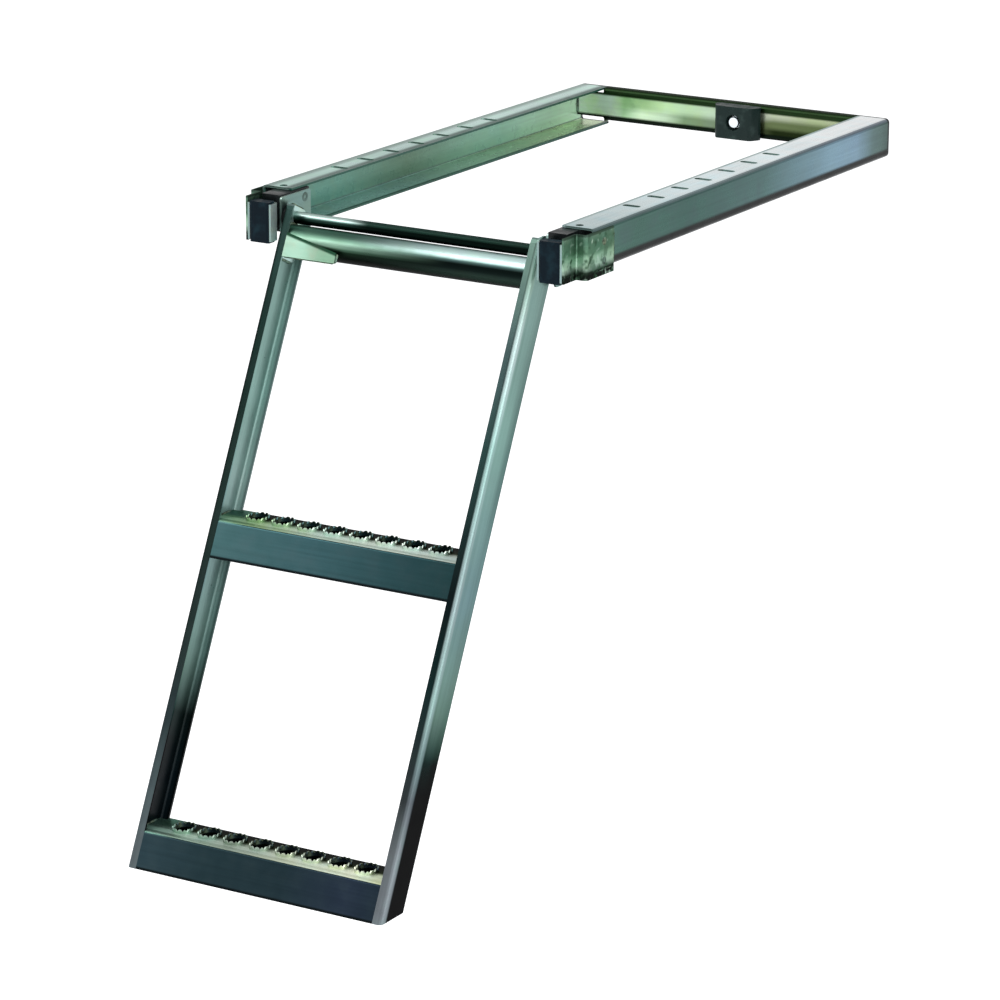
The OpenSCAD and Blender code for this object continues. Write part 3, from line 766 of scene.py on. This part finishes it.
def hung(points):
    """Points of the upright ladder, leaned and moved to the pivot."""
    x, y, z = np.array(points, float).T
    return np.stack([x, PIVOT_Y + y * math.cos(LEAN) + z * math.sin(LEAN),
                     PIVOT_Z - y * math.sin(LEAN) + z * math.cos(LEAN)], -1)


def up_the_rail(tree, height, *stops):
    """Colour read off a ramp from the side rail's foot, at 0, up to the pivot, at 1."""
    return band(tree, height, -LADDER_DROP, 0.0, *stops)


finish, tree, shader, point, normal = new_finish("side_rail_zinc")
place = upright(tree, point)
x, y, z = axes(tree, place)
# Ramps up the rail, painted light and reflection: near black over the lower third as painted dark
# reflection, lighter above.
web = up_the_rail(tree, z, (0, (0, 1, 4)), (0.19, (2, 5, 9)), (0.24, (14, 40, 38)),
                  (0.31, (98, 126, 116)), (0.36, (114, 145, 138)), (0.48, (112, 141, 145)),
                  (0.70, (125, 160, 152)), (1, (128, 155, 149)))
rear = up_the_rail(tree, z, (0, (6, 9, 12)), (0.19, (0, 2, 5)), (0.24, (4, 20, 18)),
                   (0.31, (80, 108, 98)), (0.36, (104, 130, 122)), (0.48, (106, 134, 135)),
                   (0.70, (92, 120, 115)), (1, (118, 142, 136)))
# The web is painted darker towards its back edge, as shade.
web = mix(tree, rise(tree, y, -0.002, 0.016), web, rear)
# The front flanges are painted dark as reflection; a painted glint runs down the right rail's
# outer front corner.
left_front = up_the_rail(tree, z, (0, (104, 114, 118)), (0.11, (80, 92, 96)),
                         (0.22, (44, 56, 59)), (0.37, (36, 50, 48)), (0.60, (26, 42, 38)),
                         (0.86, (18, 38, 34)), (1, (34, 54, 50)))
right_front = up_the_rail(tree, z, (0, (124, 132, 138)), (0.1, (104, 110, 114)),
                          (0.18, (50, 56, 58)), (0.33, (16, 40, 40)), (0.48, (8, 20, 22)),
                          (0.70, (34, 56, 54)), (0.85, (56, 74, 74)), (1, (84, 108, 98)))
glint = up_the_rail(tree, z, (0, (132, 140, 146)), (0.1, (130, 137, 143)),
                    (0.18, (90, 97, 103)), (0.24, (108, 128, 130)), (0.33, (143, 171, 168)),
                    (0.48, (146, 166, 168)), (0.70, (146, 180, 175)),
                    (0.85, (186, 206, 205)), (0.94, (140, 168, 156)), (1, (122, 148, 138)))
on_right = rise(tree, x, -0.01, 0.01)
front = mix(tree, on_right, left_front, right_front)
front = mix(tree, rise(tree, x, *LADDER_CORNER_X), front, glint)
web = mix(tree, times(tree, rise(tree, y, -0.0120, -0.0165), on_right), web, glint)
within = up_the_rail(tree, z, (0, (8, 22, 28)), (0.14, (16, 30, 36)), (0.24, (16, 30, 30)),
                     (0.33, (116, 148, 142)), (0.42, (136, 168, 162)),
                     (0.6, (170, 196, 191)), (0.72, (152, 190, 182)), (1, (132, 168, 160)))
at_tip = up_the_rail(tree, z, (0, (4, 10, 14)), (0.24, (2, 10, 9)), (0.36, (66, 92, 88)),
                     (0.6, (108, 128, 126)), (1, (96, 122, 118)))
across = calc(tree, "ABSOLUTE", x)
within = mix(tree, times(tree, rise(tree, across, 0.1610, LADDER_FLANGE_IN),
                         rise(tree, y, 0.017, 0.019)), within, at_tip)
inside = times(tree, rise(tree, across, LADDER_WEB_IN + 0.0004, LADDER_WEB_IN - 0.0004),
               rise(tree, y, -0.0200, -0.0190))
shade = face_shades(tree, upright_normal(tree, normal), side=web, front=front,
                    top=tone(150, 176, 172), under=tone(20, 30, 32))
shade = mix(tree, inside, shade, within)
down_the_rail = put(tree, "Mapping", {"Vector": place,
                                      "Rotation": (0, math.pi / 2, 0)}).outputs[0]
plate(tree, shader, shade, (136, 168, 162), down_the_rail, bloom=0.42, streaks=0.75,
      roughness=0.34, metallic=shine_from(tree, inside))
finish_nodes(finish, "left_side_rail", "right_side_rail")

finish, tree, shader, point, normal = new_finish("hinge_plate_zinc")
shade = face_shades(tree, upright_normal(tree, normal), side=tone(190, 220, 214),
                    front=tone(170, 198, 188), top=tone(180, 204, 196), under=tone(50, 66, 62))
plate(tree, shader, shade, (186, 206, 176), upright(tree, point), bloom=0.6, streaks=0.3)
finish_nodes(finish, "left_hinge_plate", "right_hinge_plate")

HINGE_WELD_X, HINGE_WELD_HALF = LADDER_WEB_IN - 0.0003, 0.0125
LOW_HINGE_WELD, HIGH_HINGE_WELD = (-0.0504, 0.0022), (0.0122, 0.0019)
hinge_runs = [bead(hung([(side * HINGE_WELD_X, -HINGE_WELD_HALF, height),
                         (side * HINGE_WELD_X, HINGE_WELD_HALF, height)]), radius)
              for side in (-1, 1) for height, radius in (LOW_HINGE_WELD, HIGH_HINGE_WELD)]
piece("hinge_plate_welds", hinge_runs, weld_zinc, "ladder")

# ---------------------------------------------------------------------------------------
# Top tube and tie plate: a plated tube welded between the hinge plates, with a painted
# highlight band along its front, a belly painted dark as shade and painted shade over its
# middle. A small plate ties its left end to the side rail.
finish, tree, shader, point, normal = new_finish("top_tube_zinc")
x = axes(tree, point)["X"]
facing = axes(tree, normal)
# Painted light by the way the tube's surface points: a painted highlight band along its front and
# painted shade on its belly, a little different at each end.
right_end = band(tree, facing["Z"], -1, 1, (0, (20, 30, 28)), (0.3, (36, 52, 46)),
                 (0.46, (10, 22, 20)), (0.62, (8, 20, 18)), (0.72, (70, 94, 92)),
                 (0.80, (180, 206, 203)), (0.90, (214, 240, 238)), (1, (186, 214, 212)))
left_end = band(tree, facing["Z"], -1, 1, (0, (12, 22, 16)), (0.34, (8, 20, 10)),
                (0.46, (20, 40, 26)), (0.54, (80, 112, 92)), (0.60, (138, 176, 154)),
                (0.70, (148, 184, 164)), (0.79, (98, 132, 114)), (0.86, (72, 104, 88)),
                (0.95, (68, 102, 88)), (1, (76, 114, 98)))
shade = mix(tree, rise(tree, x, -0.09, 0.06), left_end, right_end)
# Painted shade that dims the middle of the tube.
painted_dimming = band(tree, x, -0.16, 0.16, (0.1, (255, 255, 255)), (0.36, (206, 208, 208)),
            (0.5, (208, 210, 210)), (0.78, (255, 255, 255)))
shade = mix(tree, 1.0, shade, painted_dimming, "MULTIPLY")
plate(tree, shader, shade, (150, 190, 160), point, bloom=0.3, streaks=0.6, roughness=0.34)
finish_nodes(finish, "top_tube")

TIE_TOP_Z, TIE_SLOPE, TIE_EDGE_HALF = -0.022, 0.2286, 0.0034

finish, tree, shader, point, normal = new_finish("tie_plate_zinc")
place = upright(tree, point)
x, y, z = axes(tree, place)
shade = mix(tree, rise(tree, x, -0.140, -0.100), tone(140, 174, 156), tone(108, 142, 120))
drop = calc(tree, "MULTIPLY_ADD", calc(tree, "ADD", x, LADDER_FLANGE_IN), TIE_SLOPE, -TIE_TOP_Z)
upper_edge = line(tree, calc(tree, "ADD", z, drop), 0.0, TIE_EDGE_HALF)
shade = mix(tree, upper_edge, shade, tone(24, 58, 40))
plate(tree, shader, shade, (214, 226, 200), place, bloom=0.5, streaks=0.3)
finish_nodes(finish, "tie_plate")

TUBE_WELD_X, TUBE_WELD_ROUND = 0.1623, 0.018 + 0.0004
TIE_WELDS = (((-0.1550, -0.0192, -0.0502), (-0.0880, -0.0192, -0.0502), 0.0008),
             ((-0.0858, -0.0192, -0.0385), (-0.0858, -0.0192, -0.0495), 0.0014))
tube_low, tube_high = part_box("top_tube")
tube_mid = np.array([0, (tube_low.y + tube_high.y) / 2, (tube_low.z + tube_high.z) / 2])
angle = full_turn(96)
tube_runs = [bead(tube_mid + np.stack([np.full_like(angle, side * TUBE_WELD_X),
                                       TUBE_WELD_ROUND * np.cos(angle),
                                       TUBE_WELD_ROUND * np.sin(angle)], -1), 0.0019, loop=True)
             for side in (-1, 1)]
tube_runs += [bead(hung(ends), radius) for *ends, radius in TIE_WELDS]
piece("tube_welds", tube_runs, weld_zinc, "ladder")

# ---------------------------------------------------------------------------------------
# Steps: each one folded from a single sheet, with an apron painted dark as shade, a level
# tread with eight punched grip holes that have toothed collars, and a lip behind. The
# tread's front strip and the collars carry a painted highlight, the tread behind the strip
# is painted dark as shade, and its underside is painted black as shade; the tooth tips are
# lighter. Both ends are welded to the rails.
FACE_Y, LIP_Y = -0.02075, 0.02532
APRON_DEEP, STEP_SPACING, HALF_SHEET = 0.044, 0.3567, 0.00125
STEP_TOPS = {"middle_step": APRON_DEEP - LADDER_DROP + STEP_SPACING,
             "bottom_step": APRON_DEEP - LADDER_DROP}
# Aprons are painted dark, as shade, from end to end of a step; the bottom step's is painted
# darker, as dark reflection.
APRONS = {"middle_step": ((0, (66, 100, 102)), (0.4, (54, 86, 91)), (0.8, (36, 64, 68)),
                          (1, (30, 56, 58))),
          "bottom_step": ((0, (48, 68, 76)), (0.3, (38, 58, 64)), (0.6, (34, 51, 58)),
                          (0.85, (40, 52, 68)), (1, (34, 48, 58)))}
STRIPS = {"middle_step": ((0, (130, 176, 140)), (0.2, (170, 200, 150)), (0.4, (206, 226, 206)),
                          (0.7, (226, 240, 226)), (1, (210, 222, 210))),
          "bottom_step": ((0, (104, 144, 128)), (0.18, (176, 204, 184)), (0.36, (170, 186, 170)),
                          (0.6, (214, 224, 200)), (0.85, (248, 255, 226)), (1, (226, 236, 186)))}
STEP_WELD_FROM, STEP_WELD_TO = 0.006, 0.036
OVER_TREAD_WELD, UNDER_TREAD_WELD = (0.0014, 0.0017), (-0.0016, 0.0019)
tread_up = np.array([0, math.sin(LEAN), math.cos(LEAN)])
tread_back = np.array([0, math.cos(LEAN), math.sin(LEAN)])
for name, top in STEP_TOPS.items():
    finish, tree, shader, point, normal = new_finish(name + "_zinc")
    place = upright(tree, point)
    x, y, z = axes(tree, place)
    level = axes(tree, point)["Z"]
    tread_z = float(hung([(0, FACE_Y, top - HALF_SHEET)])[0][2])
    apron = band(tree, x, -LADDER_WEB_IN, LADDER_WEB_IN, *APRONS[name])
    back = calc(tree, "SUBTRACT", y, FACE_Y)
    strip = band(tree, x, -LADDER_WEB_IN, LADDER_WEB_IN, *STRIPS[name])
    # The tread's front strip carries a painted highlight; the tread is painted dark as shade at
    # its front fold and behind the strip.
    lit_strip = times(tree, rise(tree, back, 0.0044, 0.0062), rise(tree, back, 0.0165, 0.0120))
    tread = mix(tree, rise(tree, back, 0.008, 0.016), tone(14, 28, 24), tone(52, 62, 32))
    tread = mix(tree, rise(tree, back, 0.020, 0.040), tread, tone(18, 26, 14))
    tread = mix(tree, rise(tree, x, -0.115, -0.150), tread, tone(96, 138, 120))
    tread = mix(tree, lit_strip, tread, strip)
    tooth_tips = rise(tree, level, tread_z + 0.0030, tread_z + 0.0045)
    tread = mix(tree, tooth_tips, tread, tone(150, 160, 138))
    facing_up = rise(tree, axes(tree, normal)["Z"], 0.5, 0.8)
    shade = face_shades(tree, upright_normal(tree, normal), side=tone(70, 84, 66), front=apron,
                        top=tone(120, 132, 100), under=tone(10, 16, 14))
    shade = mix(tree, facing_up, shade, tread)
    collars = times(tree, rise(tree, level, tread_z + 0.0002, tread_z + 0.0009),
                    rise(tree, back, 0.024, 0.016))
    shade = mix(tree, collars, shade, strip)
    # The tread's underside is painted near black, as shade.
    between = times(tree, rise(tree, y, FACE_Y + 0.0002, FACE_Y + 0.0008),
                    rise(tree, y, LIP_Y - 0.0002, LIP_Y - 0.0008))
    underside = times(tree, rise(tree, level, tread_z + 0.0002, tread_z - 0.0006), between)
    shade = mix(tree, underside, shade, tone(12, 18, 16))
    # Painted shade along the apron's bottom edge.
    shade = mix(tree, line(tree, z, top - APRON_DEEP, 0.0026), shade, tone(14, 22, 24))
    plate(tree, shader, shade, (70, 88, 92), place, bloom=0.3, streaks=0.6, roughness=0.36,
          metallic=shine_from(tree, times(tree, facing_up, lit_strip), dullest=0.3))
    finish_nodes(finish, name)

    step_runs = []
    for side in (-1, 1):
        corner = np.array([side * LADDER_WEB_IN, FACE_Y, top - HALF_SHEET])
        step_runs += [bead(hung([corner + tread_back * reach + tread_up * height
                                 for reach in (STEP_WELD_FROM, STEP_WELD_TO)]), radius)
                      for height, radius in (OVER_TREAD_WELD, UNDER_TREAD_WELD)]
    piece(name + "_welds", step_runs, weld_zinc, "ladder")
